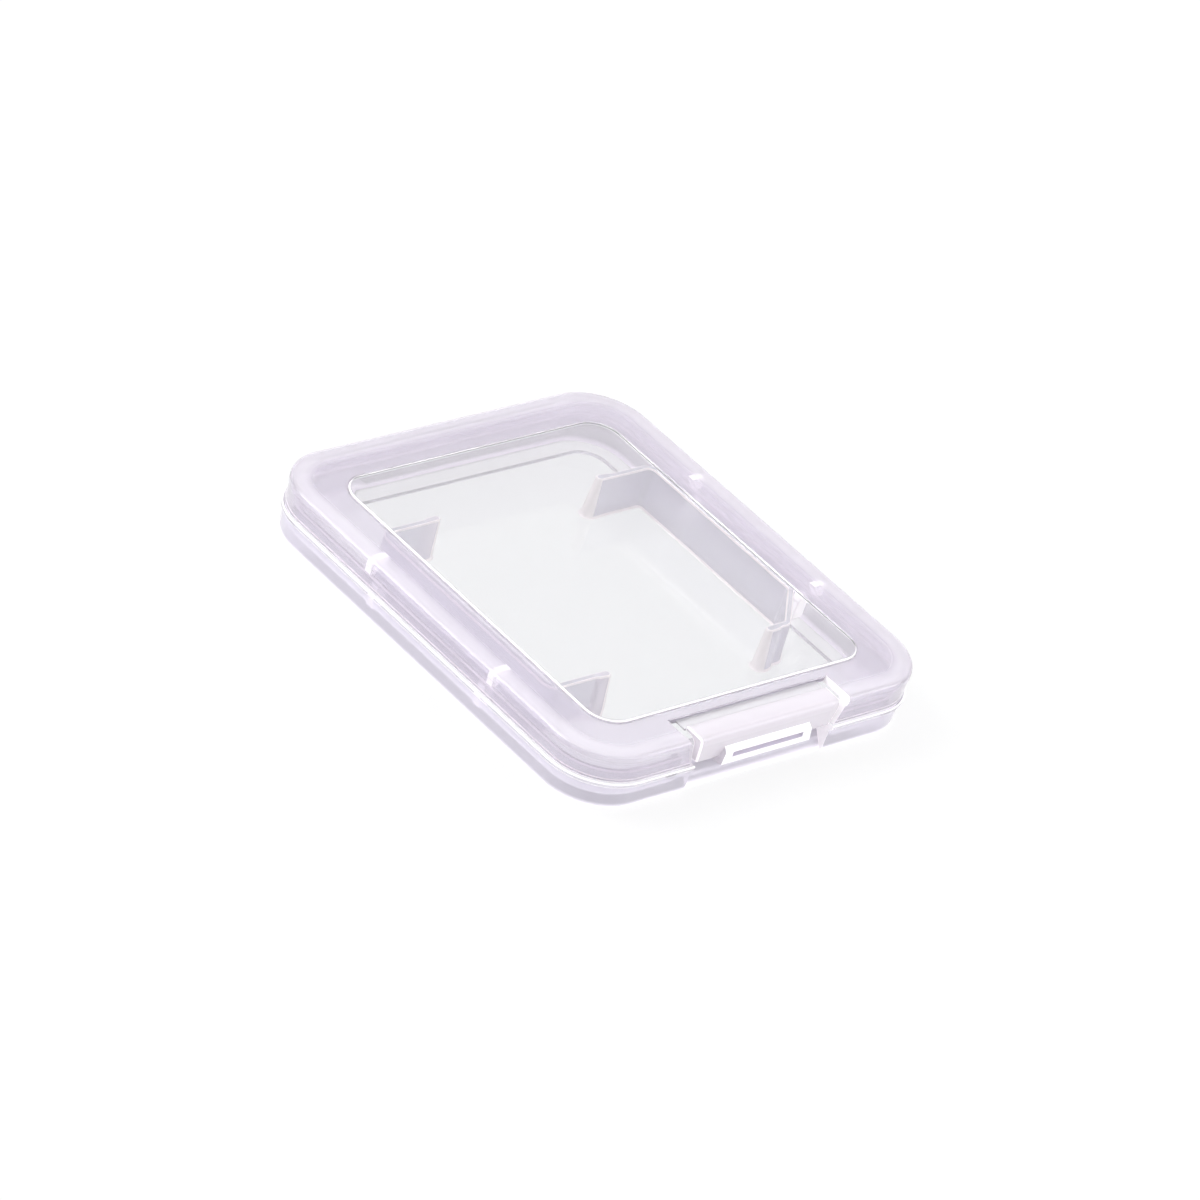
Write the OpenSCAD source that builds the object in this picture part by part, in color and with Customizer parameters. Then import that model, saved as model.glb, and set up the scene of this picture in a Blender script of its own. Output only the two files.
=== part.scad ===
// Memory card case: a clear clamshell box for one full-size memory card.
// Shown closed, lying on its base. X runs along the front, +Y points to the lid hinge at
// the back, +Z is up, and the origin is the middle of the footprint, on the table.

/* [Case] */
// Width across the parting flange, along the front
case_w = 44; // [43:0.5:54]
// Length across the parting flange, from front to back
case_l = 50.2; // [48:0.2:62]
// Height of the closed case
case_h = 6.4; // [6.3:0.1:8]
// Height of the parting line between base and lid
part_z = 3.3; // [3.1:0.05:3.4]
// Outer corner radius, seen from above
corner_r = 6.3; // [5.8:0.1:8]

/* [Lid] */
// Width of the rim between the flange and the window
rim_w = 5; // [4.6:0.1:5.2]
// Corner radius of the window panel
window_r = 3; // [1.5:0.5:4]
// Thickness of the window panel
window_t = 0.85; // [0.7:0.05:1]
// Height of the window panel's edge above the rim
window_step = 0.12; // [0.06:0.02:0.3]
// Thickness of the lid's skirt wall
lid_wall = 0.8; // [0.6:0.05:0.9]
// Thickness of the rim beside the window
rim_t = 0.6; // [0.5:0.05:0.7]
// Drop of the rim's top face from the window out to its bend
rim_fall = 0.04; // [0.02:0.02:0.14]
// Radius of the bend round the rim's outer edge
bend_r = 0.85; // [0.6:0.05:1]
// Step in from the bend's lower edge to the skirt
skirt_step = 0.13; // [0.05:0.01:0.2]
// Radius of the fillet inside that bend
bend_inner_r = 0.6; // [0.3:0.1:0.8]

/* [Base] */
// Thickness of the base floor under the card
floor_t = 0.9; // [0.7:0.05:1.1]
// Height of the step from the floor up to its border
floor_step = 0.25; // [0.1:0.05:0.4]
// Distance from the flange in to the floor step
floor_border = 3.8; // [3.4:0.1:4]
// Height of the flange round the base
flange_h = 0.42; // [0.3:0.02:0.6]
// How far the flange stands out from the base wall
flange_out = 0.3; // [0.15:0.05:0.4]
// Radius round the foot of the base wall
foot_r = 0.7; // [0.4:0.1:0.9]
// Radius of the fillet between the floor border and the wall
cove_r = 0.6; // [0.3:0.1:0.8]
// Thickness of the tongue that stands inside the lid
tongue_t = 0.55; // [0.4:0.05:0.7]
// Height of the tongue above the parting line
tongue_h = 0.9; // [0.6:0.1:1]

/* [Card fence] */
// Distance from the flange in to the bay at each end of the card, which lies across the case
bay_end_in = 5.3; // [5.2:0.1:7]
// Distance from the flange in to the bay along the card's long sides
bay_side_in = 12.95; // [10:0.05:14]
// Gap between the top of the fence and the window panel
fence_gap = 0.2; // [0.1:0.05:1.5]
// Thickness of the fence walls
fence_t = 0.95; // [0.7:0.05:1.1]
// Length of each fence end along the card's long sides
fence_end = 6.2; // [5:0.2:9]
// Length of the cut corner of the card
card_cut = 4; // [2:0.5:4.5]
// Radius of the round post at the foot of each fence end
post_r = 0.8; // [0.7:0.05:0.9]
// Radius of the same post at its top
post_top_r = 0.5; // [0.35:0.05:0.6]

/* [Ribs] */
// Distance from the middle to each base rib, along Y
rib_y = 8; // [5:0.5:10]
// Thickness of each base rib
base_rib_t = 1.1; // [0.8:0.1:1.5]
// Depth of each base rib, in from the base wall
base_rib_d = 1.3; // [0.8:0.1:1.3]
// Height of the base ribs above the floor border
base_rib_h = 2.5; // [1.5:0.1:2.6]
// Thickness of each lid rib
lid_rib_t = 0.9; // [0.6:0.1:1.2]
// Depth of each lid rib, in from the skirt's inner face
lid_rib_d = 1.4; // [1:0.1:1.5]

/* [Latch] */
// Width of the strip of rim between the window and the groove behind the flap
groove_strip = 1.2; // [0.9:0.1:1.3]
// Width of the flap at its film hinge
flap_w = 18; // [14:0.5:19]
// How much narrower the flap is at its lower edge
flap_taper = 1; // [0:0.1:1.4]
// Distance of the flap's face in from the flange
flap_face_in = 0.35; // [0.25:0.05:0.4]
// Thickness of the flap
flap_t = 0.85; // [0.7:0.05:0.9]
// Height of the flap's lower edge above the table
flap_z = 3.35; // [3.3:0.05:3.4]
// Gap between the flap and the openings round it
flap_gap = 0.35; // [0.25:0.05:0.45]
// Width of the thumb lip
lip_w = 11.4; // [8:0.2:12]
// How far the thumb lip stands out past the flange
lip_out = 0.25; // [0.1:0.05:0.4]
// Height of the thumb lip's lower edge above the table
lip_z = 2.75; // [2.6:0.05:2.8]
// Width of the slot in the thumb lip
slot_w = 9; // [6:0.2:9.6]
// Height of the slot in the thumb lip
slot_h = 0.55; // [0.4:0.05:0.6]
// Depth of the front recess behind the flap, in from the flange
recess_d = 1.9; // [1.85:0.05:2]
// How far the catch ledge stands out in that recess
catch_out = 0.4; // [0.3:0.05:0.5]
// Clearance between the catch ledge and the flap's bead
catch_gap = 0.06; // [0.05:0.01:0.1]

/* [Hinges] */
// Distance from each end of the lid's hinge film to where the corner begins
hinge_end = 0.7; // [0:0.1:6]
// Distance from the flange back to the lid's hinge axis
hinge_out = 0.4; // [0.35:0.05:0.6]
// Thickness of both hinge films
film_t = 0.2; // [0.15:0.01:0.22]
// Gap between the two legs of the folded hinge film
film_gap = 0.12; // [0.08:0.01:0.16]
// Width of the film between the rim and the flap
flap_film_w = 1.3; // [1:0.1:1.4]

/* [Hidden] */
$fn = 48;
clear = 0.1;
over = 1;
half_w = case_w / 2;
half_l = case_l / 2;
straight_w = case_w - 2 * corner_r;
straight_l = case_l - 2 * corner_r;
hinge_l = straight_w - 2 * hinge_end;

// Heights and insets of the lid's section, insets measured in from the flange
window_w = case_w - 2 * rim_w;
window_l = case_l - 2 * rim_w;
rim_z = case_h - window_step;
bend_z = rim_z - rim_fall;
bend_low_z = bend_z - bend_r;
under_z = bend_z - rim_t;
bend_in = 0.12;
skirt_in = bend_in + skirt_step;
skirt_inner = skirt_in + lid_wall;

// The same for the base
wall_draft = 0.15;
wall_foot_in = flange_out + wall_draft;
tongue_in = skirt_inner + clear;
base_inner = tongue_in + tongue_t;
tongue_z = part_z + tongue_h;
border_z = floor_t + floor_step;
lug_h = 0.6;
lug_in = 0.5;

// Card bay
bay_half_l = half_w - bay_end_in;
bay_half_w = half_l - bay_side_in;
fence_h = case_h - window_t - fence_gap - floor_t;
bay_y = -0.3;

// Latch
groove_in = rim_w - groove_strip;
flap_in = groove_in - flap_film_w;
film_drop = 0.35;
flap_film_z = bend_z - film_drop;
flap_inner = flap_face_in + flap_t;
opening_flare = 0.85;
opening_low = 0.3;
seat_t = 0.85;
catch_in = recess_d - catch_out;
bead_in = catch_in - catch_gap;
lip_drop = 0.6;
lip_top_z = bend_low_z - lip_drop;
catch_drop = 0.2;
catch_h = 0.55;
catch_top = tongue_z - catch_drop;
catch_bottom = catch_top - catch_h;
catch_w = 10;
sill_in = 0.85;
sill_h = 0.45;
sill_slope_z = 2;

// Flat outline of a rectangle with round corners, centred on the origin
module round_rect(w, l, r) {
    square([w - 2 * r, l], center = true);
    square([w, l - 2 * r], center = true);
    for (x = [-1, 1], y = [-1, 1])
        translate([x * (w / 2 - r), y * (l / 2 - r)])
            circle(r);
}

// Plate with round corners, from the height z up by t
module round_plate(w, l, r, z, t) {
    translate([0, 0, z])
        linear_extrude(t)
            round_rect(w, l, r);
}

// What is left of a square corner outside a quarter round: the corner is the origin
module spandrel(r) {
    difference() {
        square(r);
        translate([r, r])
            circle(r);
    }
}

// Straight bar along a side: the profile is drawn in [inset from the flange, height]
module side_bar(half_span, length) {
    translate([-half_span, length / 2, 0])
        rotate([90, 0, 0])
            linear_extrude(length)
                children();
}

// Bar along the front, from the same kind of profile, centred on x = 0
module front_bar(length) {
    rotate(90)
        side_bar(half_l, length)
            children();
}

// Ring swept round the case from the same kind of profile
module swept_ring() {
    for (turn = [0, 180])
        rotate(turn) {
            side_bar(half_w, straight_l)
                children();
            front_bar(straight_w)
                children();
        }
    for (quarter = [0 : 3])
        translate([(quarter % 3 == 0 ? 1 : -1) * straight_w / 2, (quarter < 2 ? 1 : -1) * straight_l / 2, 0])
            rotate(90 * quarter)
                rotate_extrude(angle = 90)
                    translate([corner_r, 0])
                        mirror([1, 0])
                            children();
}

// Section of the base: floor border, wall, flange and tongue
module base_section() {
    difference() {
        polygon([
            [wall_foot_in, 0],
            [flange_out, part_z - flange_h - clear],
            [0, part_z - flange_h],
            [0, part_z],
            [tongue_in, part_z],
            [tongue_in, tongue_z],
            [base_inner, tongue_z],
            [base_inner, border_z],
            [floor_border, border_z],
            [floor_border, 0]
        ]);
        translate([wall_foot_in, 0])
            spandrel(foot_r);
    }
    translate([base_inner, border_z])
        spandrel(cove_r);
}

// Recess in the front of the base that the flap closes over
module latch_recess() {
    front_bar(flap_w - flap_taper + 2 * flap_gap)
        polygon([
            [-over, -over],
            [sill_in, -over],
            [sill_in, sill_h],
            [recess_d, sill_slope_z],
            [recess_d, tongue_z + over],
            [-over, tongue_z + over]
        ]);
}

// Wall behind the recess, which keeps the front of the base closed
module latch_seat() {
    front_bar(flap_w + 2 * flap_gap + 2 * seat_t)
        polygon([
            [base_inner - tongue_t / 2, border_z / 2],
            [base_inner - tongue_t / 2, tongue_z],
            [recess_d + seat_t, tongue_z],
            [recess_d + seat_t, border_z / 2]
        ]);
}

module base_tray() {
    floor_in = 2 * floor_border;
    color("lavender", 0.6) {
        difference() {
            union() {
                swept_ring()
                    base_section();
                latch_seat();
            }
            latch_recess();
            front_bar(flap_w + 2 * flap_gap + 2 * opening_flare)
                translate([0, part_z])
                    square([recess_d, tongue_h + over]);
        }
        round_plate(case_w - floor_in, case_l - floor_in, corner_r - floor_border, 0, floor_t);
        translate([-hinge_l / 2, half_l - lug_in, part_z - lug_h])
            cube([hinge_l, lug_in, lug_h]);
    }
}

// The four ribs of one shell, from a profile in [inset from the flange, height]
module rib_set(thickness, distance) {
    for (turn = [0, 180], y = [-1, 1])
        rotate(turn)
            translate([0, y * distance, 0])
                side_bar(half_w, thickness)
                    children();
}

module base_ribs() {
    top = border_z + base_rib_h;
    color("thistle", 0.7)
        difference() {
            rib_set(base_rib_t, rib_y)
                polygon([
                    [base_inner, border_z],
                    [base_inner + base_rib_d, border_z],
                    [base_inner + base_rib_d - clear, top - base_rib_d / 2],
                    [base_inner + base_rib_d / 2, top],
                    [base_inner, top]
                ]);
            swept_ring()
                translate([base_inner, border_z])
                    spandrel(cove_r);
        }
}

// One end wall of the card fence with its two returns, for the +X side of the bay
module fence_walls(with_cut) {
    outer_x = bay_half_l + fence_t;
    outer_y = bay_half_w + fence_t;
    cut = with_cut ? card_cut : 0;
    outer_cut = with_cut ? card_cut + fence_t * (2 - sqrt(2)) : 0;
    linear_extrude(fence_h)
        difference() {
            polygon([
                [bay_half_l - fence_end, outer_y],
                [outer_x, outer_y],
                [outer_x, -outer_y + outer_cut],
                [outer_x - outer_cut, -outer_y],
                [bay_half_l - fence_end, -outer_y]
            ]);
            polygon([
                [bay_half_l - fence_end - over, bay_half_w],
                [bay_half_l, bay_half_w],
                [bay_half_l, -bay_half_w + cut],
                [bay_half_l - cut, -bay_half_w],
                [bay_half_l - fence_end - over, -bay_half_w]
            ]);
        }
}

// The fence on one side of the bay: turned half round for the left, which has no cut corner
module card_fence(turn, with_cut) {
    translate([0, bay_y, floor_t])
        rotate(turn) {
            fence_walls(with_cut);
            for (y = [-1, 1])
                translate([bay_half_l - fence_end, y * (bay_half_w + post_r - clear), 0])
                    cylinder(h = fence_h, r1 = post_r, r2 = post_top_r);
        }
}

module card_fence_left() {
    color("plum", 0.7)
        card_fence(180, false);
}

module card_fence_right() {
    color("plum", 0.7)
        card_fence(0, true);
}

module latch_catch() {
    color("orchid", 0.8)
        front_bar(catch_w)
            polygon([
                [recess_d, catch_bottom - catch_out],
                [catch_in, catch_bottom],
                [catch_in, catch_top - catch_out / 2],
                [recess_d - catch_out / 2, catch_top],
                [recess_d, catch_top]
            ]);
}

// What the bend takes off the rim's square outer edge
module bend_cut() {
    translate([bend_in, bend_z])
        mirror([0, 1])
            spandrel(bend_r);
}

// Section of the lid: skirt, bend and rim, open in the middle for the window
module lid_section() {
    difference() {
        polygon([
            [skirt_in, part_z],
            [skirt_in, bend_low_z],
            [bend_in, bend_low_z],
            [bend_in, bend_z],
            [bend_in + bend_r, bend_z],
            [rim_w, rim_z],
            [rim_w, under_z],
            [skirt_inner, under_z],
            [skirt_inner, part_z]
        ]);
        bend_cut();
    }
    translate([skirt_inner, under_z])
        mirror([0, 1])
            spandrel(bend_inner_r);
}

// Opening in the front of the lid for the flap: its sides lean out towards the rim's top
module flap_opening() {
    low = flap_w / 2 - flap_taper / 2 + flap_gap + opening_low;
    high = flap_w / 2 + flap_gap + opening_flare;
    translate([0, -half_l + groove_in, 0])
        rotate([90, 0, 0])
            linear_extrude(groove_in + over)
                polygon([
                    [-low, part_z - over],
                    [low, part_z - over],
                    [low, part_z],
                    [high, rim_z],
                    [high, case_h],
                    [-high, case_h],
                    [-high, rim_z],
                    [-low, part_z]
                ]);
}

module lid_frame() {
    color("lavender", 0.6) {
        difference() {
            union() {
                swept_ring()
                    lid_section();
                round_plate(window_w, window_l, corner_r - rim_w, under_z, rim_z - under_z);
            }
            round_plate(window_w, window_l, window_r, under_z - over, case_h);
            flap_opening();
        }
        translate([-hinge_l / 2, half_l - lug_in, part_z])
            cube([hinge_l, lug_in, lug_h]);
    }
}

module lid_window() {
    color("aliceblue", 0.4)
        round_plate(window_w, window_l, window_r, case_h - window_t, window_t);
}

module lid_ribs() {
    rib_mid = rib_y + base_rib_t / 2 + clear + lid_rib_t / 2;
    bottom = tongue_z + clear;
    color("thistle", 0.7)
        difference() {
            rib_set(lid_rib_t, rib_mid)
                polygon([
                    [skirt_inner, bottom],
                    [skirt_inner + lid_rib_d / 2, bottom],
                    [skirt_inner + lid_rib_d, under_z - clear],
                    [skirt_inner + lid_rib_d, under_z],
                    [skirt_inner, under_z]
                ]);
            swept_ring()
                translate([skirt_inner, under_z])
                    mirror([0, 1])
                        spandrel(bend_inner_r);
        }
}

// Flat outline of a finger of half-width r, which ends in a half round on the hinge axis
module finger(r) {
    translate([-over, -r])
        square([hinge_out + over, 2 * r]);
    translate([hinge_out, 0])
        circle(r);
}

// Film hinge at the back, folded into a hairpin round the hinge axis
module hinge_film() {
    color("white", 0.7)
        translate([-hinge_l / 2, half_l, part_z])
            rotate([90, 0, 90])
                linear_extrude(hinge_l)
                    difference() {
                        finger(film_gap / 2 + film_t);
                        finger(film_gap / 2);
                        translate([-2 * over, -over])
                            square([2 * over, 2 * over]);
                    }
}

// Section of the flap above the lip: it carries on the rim's outer line
module flap_section() {
    top_z = rim_z - rim_fall * (rim_w - flap_in) / (rim_w - bend_in - bend_r);
    difference() {
        polygon([
            [flap_face_in, flap_z],
            [bend_in, bend_low_z],
            [bend_in, bend_z],
            [bend_in + bend_r, bend_z],
            [flap_in, top_z],
            [flap_in, under_z],
            [flap_inner, under_z],
            [flap_inner, flap_z]
        ]);
        bend_cut();
    }
    translate([flap_inner, under_z])
        mirror([0, 1])
            spandrel(bend_inner_r);
}

// Section of the thumb lip, with the bead on its inner side that sits under the catch
module lip_section() {
    polygon([
        [flap_face_in, lip_top_z],
        [-lip_out, lip_top_z - lip_out - flap_face_in],
        [-lip_out, lip_z],
        [flap_inner, lip_z],
        [bead_in, lip_z + catch_out / 2],
        [bead_in, catch_bottom - catch_out],
        [flap_inner, catch_bottom - catch_out / 2],
        [flap_inner, lip_top_z]
    ]);
}

module latch_flap() {
    low = flap_w / 2 - flap_taper / 2;
    high = flap_w / 2;
    slot_z = (lip_z + lip_top_z - slot_h) / 2;
    color("plum", 0.7)
        difference() {
            union() {
                intersection() {
                    front_bar(flap_w)
                        flap_section();
                    translate([0, -half_l + groove_in, 0])
                        rotate([90, 0, 0])
                            linear_extrude(groove_in + over)
                                polygon([[-low, flap_z], [low, flap_z], [high, case_h], [-high, case_h]]);
                }
                front_bar(lip_w)
                    lip_section();
            }
            front_bar(slot_w)
                translate([-lip_out - over, slot_z])
                    square([over + lip_out + flap_face_in + clear, slot_h]);
        }
}

module latch_film() {
    color("white", 0.7)
        translate([-flap_w / 2, -half_l + flap_in, flap_film_z - film_t])
            cube([flap_w, flap_film_w, film_t]);
}

base_tray();
base_ribs();
card_fence_left();
card_fence_right();
latch_catch();
lid_frame();
lid_window();
lid_ribs();
hinge_film();
latch_flap();
latch_film();
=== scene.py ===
import math

import bmesh
import bpy
from mathutils import Matrix, Vector


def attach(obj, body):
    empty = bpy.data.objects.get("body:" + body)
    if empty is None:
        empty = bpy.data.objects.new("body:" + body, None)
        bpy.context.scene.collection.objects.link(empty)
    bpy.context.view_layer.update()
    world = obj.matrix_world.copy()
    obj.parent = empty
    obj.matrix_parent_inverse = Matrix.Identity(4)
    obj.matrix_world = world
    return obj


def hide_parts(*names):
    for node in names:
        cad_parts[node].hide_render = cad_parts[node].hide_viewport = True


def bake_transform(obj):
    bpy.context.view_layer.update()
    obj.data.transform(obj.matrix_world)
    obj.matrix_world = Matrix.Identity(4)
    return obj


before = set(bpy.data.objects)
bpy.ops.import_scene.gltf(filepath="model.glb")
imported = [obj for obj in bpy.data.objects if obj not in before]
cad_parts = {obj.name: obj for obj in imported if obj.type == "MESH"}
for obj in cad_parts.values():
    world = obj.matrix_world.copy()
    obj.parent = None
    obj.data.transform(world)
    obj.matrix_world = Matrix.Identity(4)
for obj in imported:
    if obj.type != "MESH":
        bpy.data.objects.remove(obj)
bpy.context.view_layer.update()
scene = bpy.context.scene
scene.view_settings.view_transform = "Standard"
MM = 0.001

# Camera, fitted to the photograph's lines: a 1200 x 1200 frame
FRAME_PX = 1200
FOCAL_PX = 6978.2
SENSOR_W = 36.0
AZIMUTH = math.radians(-50.63)
ELEVATION = math.radians(32.41)
ROLL = math.radians(18.37)
DISTANCE = 655.0 * MM
AIM = Vector((0, 0, 6.4 * MM))
SLIDE_RIGHT = -0.304 * MM
SLIDE_UP = -3.176 * MM

# Studio: a pale floor in metres, and how strongly floor and sky show and light
WHITE = (1, 1, 1, 1)
STAGE_HALF = 1.5
STAGE_Z = -0.02 * MM
STAGE_PAINT = (0.9, 0.9, 0.9, 1)
STAGE_GLOW = 0.8
SKY_TINT = (0.97, 0.98, 1, 1)
SKY_LIGHT = 0.8

# Sizes of the case in millimetres, as the solids have them. Insets are measured inwards from
# the flange's outline, and heights (names with Z) upwards from the table.
HALF_W = 22.0
HALF_L = 25.1
CORNER_R = 6.3
CASE_H = 6.4
PART_Z = 3.3

# Lid: the rim round the window, the bend and the skirt
RIM_W = 5.0
WINDOW_R = 3.0
WINDOW_T = 0.85
BEND_R = 0.85
BEND_IN = 0.12
BEND_Z = 6.24
BEND_LOW_Z = BEND_Z - BEND_R
UNDER_Z = 5.64
SKIRT_IN = 0.25
SKIRT_INNER = 1.05

# Base: the tongue that enters the lid, the wall, and the floor with its raised border
TONGUE_IN = 1.15
TONGUE_Z = 4.2
BASE_INNER = 1.7
FLOOR_Z = 0.9
BORDER_Z = 1.15
FLOOR_BORDER = 3.8

# Latch: the opening in the lid's front, the recess in the base behind it, the flap and its film
OPENING_LOW = 9.15
OPENING_HIGH = 10.2
RECESS_HALF = 8.85
RECESS_D = 1.9
GROOVE_IN = 3.8
FLAP_IN = 2.5
FLAP_FACE_IN = 0.35
FLAP_T = 0.85
FLAP_Z = 3.35
FILM_Z = 5.89

# Hinge along the back, and the thickness of both films
HINGE_OUT = 0.4
HINGE_HALF = 15.0
STRIP_DEEP = 0.5
STRIP_H = 0.6
FILM_T = 0.2
FOLD_GAP = 0.06

# Card bay and the fences at its two ends, which are tapered and end in round posts
BAY_HALF_L = 16.7
BAY_HALF_W = 12.15
BAY_Y = -0.3
CARD_CUT = 4.0
FENCE_HALF_T = 0.475
FENCE_H = 4.45
FENCE_ARM = 6.2
FENCE_TAPER = 0.3
FENCE_ROUND = 0.16
FENCE_LIFT = 0.004
POST_LOW = 0.8
POST_HIGH = 0.42
POST_REACH = 1.3
FLARE_OUT = 0.16
FLARE_H = 0.2

# Small distances: how far a piece reaches into the one that carries it, the gaps round the
# window and under the lid, how far a cutter stands past what it cuts, and the room that is
# left when faces are sorted by their places
BITE = 0.02
SEAM = 0.02
SHUT_GAP = 0.01
PAST = 1.0
PLAY = 0.05

# Fineness of the meshes: degrees between two points of an arc, steps of a corner and of a
# bar's rounded end, points on a fence's tip, stretches of a film, and the least radius
ARC_STEP = 15
CORNER_STEPS = 14
END_STEPS = 3
TIP_POINTS = 7
FILM_CUTS = 12
LEAST_R = 0.05
MERGE = 0.0004 * MM

# Material slots that every piece has: its own plastic, and a paler plastic that paints highlights on its
# edges
SKIN = 0
EDGE_HIGHLIGHT = 1


def make_camera():
    data = bpy.data.cameras.new("photo_camera")
    camera = bpy.data.objects.new("photo_camera", data)
    scene.collection.objects.link(camera)
    data.sensor_width = SENSOR_W
    data.lens = FOCAL_PX / FRAME_PX * data.sensor_width
    data.clip_start = 0.01
    data.clip_end = 20
    back = Vector((
        math.sin(AZIMUTH) * math.cos(ELEVATION),
        -math.cos(AZIMUTH) * math.cos(ELEVATION),
        math.sin(ELEVATION),
    ))
    level = Vector((math.cos(AZIMUTH), math.sin(AZIMUTH), 0))
    upright = back.cross(level)
    right = math.cos(ROLL) * level + math.sin(ROLL) * upright
    up = math.cos(ROLL) * upright - math.sin(ROLL) * level
    place = AIM + back * DISTANCE + right * SLIDE_RIGHT + up * SLIDE_UP
    turn = Matrix((right, up, back)).transposed().to_4x4()
    camera.matrix_world = Matrix.Translation(place) @ turn
    scene.camera = camera


def socket(sockets, name):
    """The first socket that has this name or identifier."""
    return next(s for s in sockets if name in (s.identifier, s.name))


def add_node(tree, kind, inputs=None, **settings):
    """Adds a shader node. An input is linked where a socket is given for it, and else set."""
    step = tree.nodes.new(kind)
    for name, value in settings.items():
        setattr(step, name, value)
    for name, value in (inputs or {}).items():
        target = socket(step.inputs, name)
        if isinstance(value, bpy.types.NodeSocket):
            tree.links.new(value, target)
        else:
            target.default_value = value
    return step


def math_step(tree, operation, first, second):
    inputs = {"Value": first, "Value_001": second}
    return add_node(tree, "ShaderNodeMath", inputs, operation=operation).outputs["Value"]


def vector_step(tree, operation, first, second=None):
    inputs = {"Vector": first}
    if second:
        inputs["Vector_001"] = second
    return add_node(tree, "ShaderNodeVectorMath", inputs, operation=operation)


def between(tree, share, low, high):
    """Value that goes from low to high as share goes from 0 to 1."""
    inputs = {"Value": share, "To Min": low, "To Max": high}
    return add_node(tree, "ShaderNodeMapRange", inputs).outputs["Result"]


def mix_shaders(tree, share, low, high):
    """Shader that goes from low to high as share goes from 0 to 1."""
    inputs = {"Fac": share, "Shader": low, "Shader_001": high}
    return add_node(tree, "ShaderNodeMixShader", inputs).outputs["Shader"]


def seen_rays(tree):
    """1 for a ray that sees the background directly, in a reflection or through the plastic."""
    path = add_node(tree, "ShaderNodeLightPath").outputs
    direct = math_step(tree, "MAXIMUM", path["Is Camera Ray"], path["Is Glossy Ray"])
    return math_step(tree, "MAXIMUM", direct, path["Is Transmission Ray"])


def new_material(name):
    material = bpy.data.materials.new(name)
    material.use_nodes = True
    material.node_tree.nodes.clear()
    return material, material.node_tree


def make_world():
    """Sky that lights the case softly and is white where it is seen."""
    world = bpy.data.worlds.new("studio")
    scene.world = world
    world.use_nodes = True
    tree = world.node_tree
    tree.nodes.clear()
    lit = add_node(tree, "ShaderNodeBackground", {"Color": SKY_TINT, "Strength": SKY_LIGHT})
    seen = add_node(tree, "ShaderNodeBackground", {"Color": WHITE, "Strength": 1.0})
    sky = mix_shaders(tree, seen_rays(tree), lit.outputs["Background"], seen.outputs["Background"])
    add_node(tree, "ShaderNodeOutputWorld", {"Surface": sky})


def make_floor():
    """Floor that glows where it is seen, but keeps some paint, so that a shadow shows on it."""
    material, tree = new_material("studio_floor")
    paint = add_node(tree, "ShaderNodeBsdfDiffuse", {"Color": STAGE_PAINT})
    glow = add_node(tree, "ShaderNodeEmission", {"Color": WHITE, "Strength": 1.0})
    path = add_node(tree, "ShaderNodeLightPath").outputs
    share = add_node(tree, "ShaderNodeMapRange", {"Value": seen_rays(tree), "To Max": STAGE_GLOW})
    through = math_step(tree, "MAXIMUM", share.outputs["Result"], path["Is Transmission Ray"])
    surface = mix_shaders(tree, through, paint.outputs["BSDF"], glow.outputs["Emission"])
    add_node(tree, "ShaderNodeOutputMaterial", {"Surface": surface})
    low, high = -STAGE_HALF, STAGE_HALF
    mesh = bpy.data.meshes.new("floor")
    corners = [(low, low, 0), (high, low, 0), (high, high, 0), (low, high, 0)]
    mesh.from_pydata(corners, [], [(0, 1, 2, 3)])
    mesh.materials.append(material)
    floor = bpy.data.objects.new("floor", mesh)
    floor.location.z = STAGE_Z
    scene.collection.objects.link(floor)


def area_light(name, place, side, power):
    """Square lamp that faces the case's origin."""
    data = bpy.data.lights.new(name, "AREA")
    data.shape = "RECTANGLE"
    data.size = side
    data.size_y = side
    data.energy = power
    light = bpy.data.objects.new(name, data)
    light.location = place
    light.rotation_euler = (-Vector(place)).to_track_quat("-Z", "Y").to_euler()
    scene.collection.objects.link(light)


def fillet(corners, closed=True):
    """Profile through corners (inset, height, radius), each rounded by an arc.

    A fourth entry marks an edge that gets a painted highlight: "edge" for the arc alone, "run"
    for the arc and the straight after it. The result is a list of (inset, height, lit), where
    lit, true where a painted highlight goes, is for the stretch from that point on.
    """
    most_of_side = 0.49
    points = []
    count = len(corners)
    for i, (x, y, radius, *mark) in enumerate(corners):
        here = Vector((x, y))
        lit = bool(mark)
        run = "run" in mark
        ends = not closed and i in (0, count - 1)
        if radius <= 0 or ends:
            points.append((x, y, run))
            continue
        before = Vector(corners[i - 1][:2]) - here
        after = Vector(corners[(i + 1) % count][:2]) - here
        turn = math.pi - before.angle(after)
        reach = radius * math.tan(turn / 2)
        reach = min(reach, before.length * most_of_side, after.length * most_of_side)
        radius = reach / math.tan(turn / 2)
        first = here + before.normalized() * reach
        inside = (before.normalized() + after.normalized()).normalized()
        middle = here + inside * (radius / math.cos(turn / 2))
        steps = max(2, math.ceil(math.degrees(turn) / ARC_STEP))
        sign = 1 if before.cross(after) < 0 else -1
        for step in range(steps + 1):
            spoke = first - middle
            spoke.rotate(Matrix.Rotation(sign * turn * step / steps, 2))
            spot = middle + spoke
            points.append((spot.x, spot.y, lit if step < steps else run))
    return points


def plain(corners):
    """Profile with sharp corners and no painted edge highlight."""
    return [(inset, z, False) for inset, z in corners]


# Indices of the profile's points from which a painted edge highlight runs
def highlight_indices(profile):
    return {i for i, (_, _, lit) in enumerate(profile) if lit}


def base_corner(inset):
    return max(CORNER_R - inset, LEAST_R)


def lid_corner(inset):
    """Corner radius of the lid at an inset: it eases from the bend's round to the window's."""
    inner = BEND_IN + BEND_R
    if inset <= inner:
        return CORNER_R - inset
    if inset <= RIM_W:
        share = (inset - inner) / (RIM_W - inner)
        return (CORNER_R - inner) * (1 - share) + WINDOW_R * share
    return max(WINDOW_R + RIM_W - inset, LEAST_R)


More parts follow.
